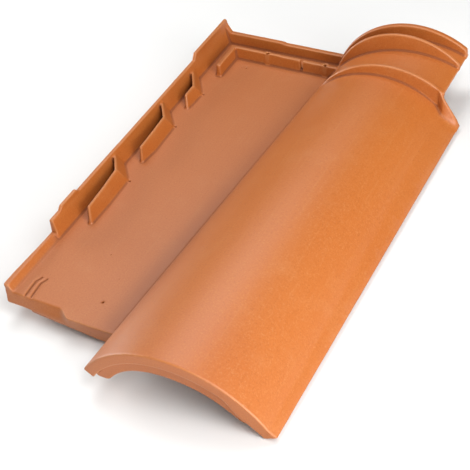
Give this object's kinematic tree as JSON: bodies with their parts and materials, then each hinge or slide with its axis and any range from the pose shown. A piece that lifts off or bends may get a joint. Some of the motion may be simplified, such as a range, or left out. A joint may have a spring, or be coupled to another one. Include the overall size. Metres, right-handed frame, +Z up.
{
  "type": "roof tile",
  "caption": "Interlocking clay roof tile with a flat water pan, a large tapered roll, raised edge walls, water deflectors and a ribbed head that locks under the next course.",
  "frame": {"origin": "centre of the bounding box's base, on the level floor that the tile lies on roll-up", "axes": "+Y along the tile from the roll's front to the head end, +X towards the roll's right edge, +Z up; the pan slopes down towards +X by the tile's resting tilt"},
  "size_m": [0.2898, 0.47, 0.071],
  "materials": {
    "terracotta": "matte unglazed fired clay"
  },
  "bodies": {
    "root": {"roof_tile": "terracotta"}
  },
  "joints": []
}
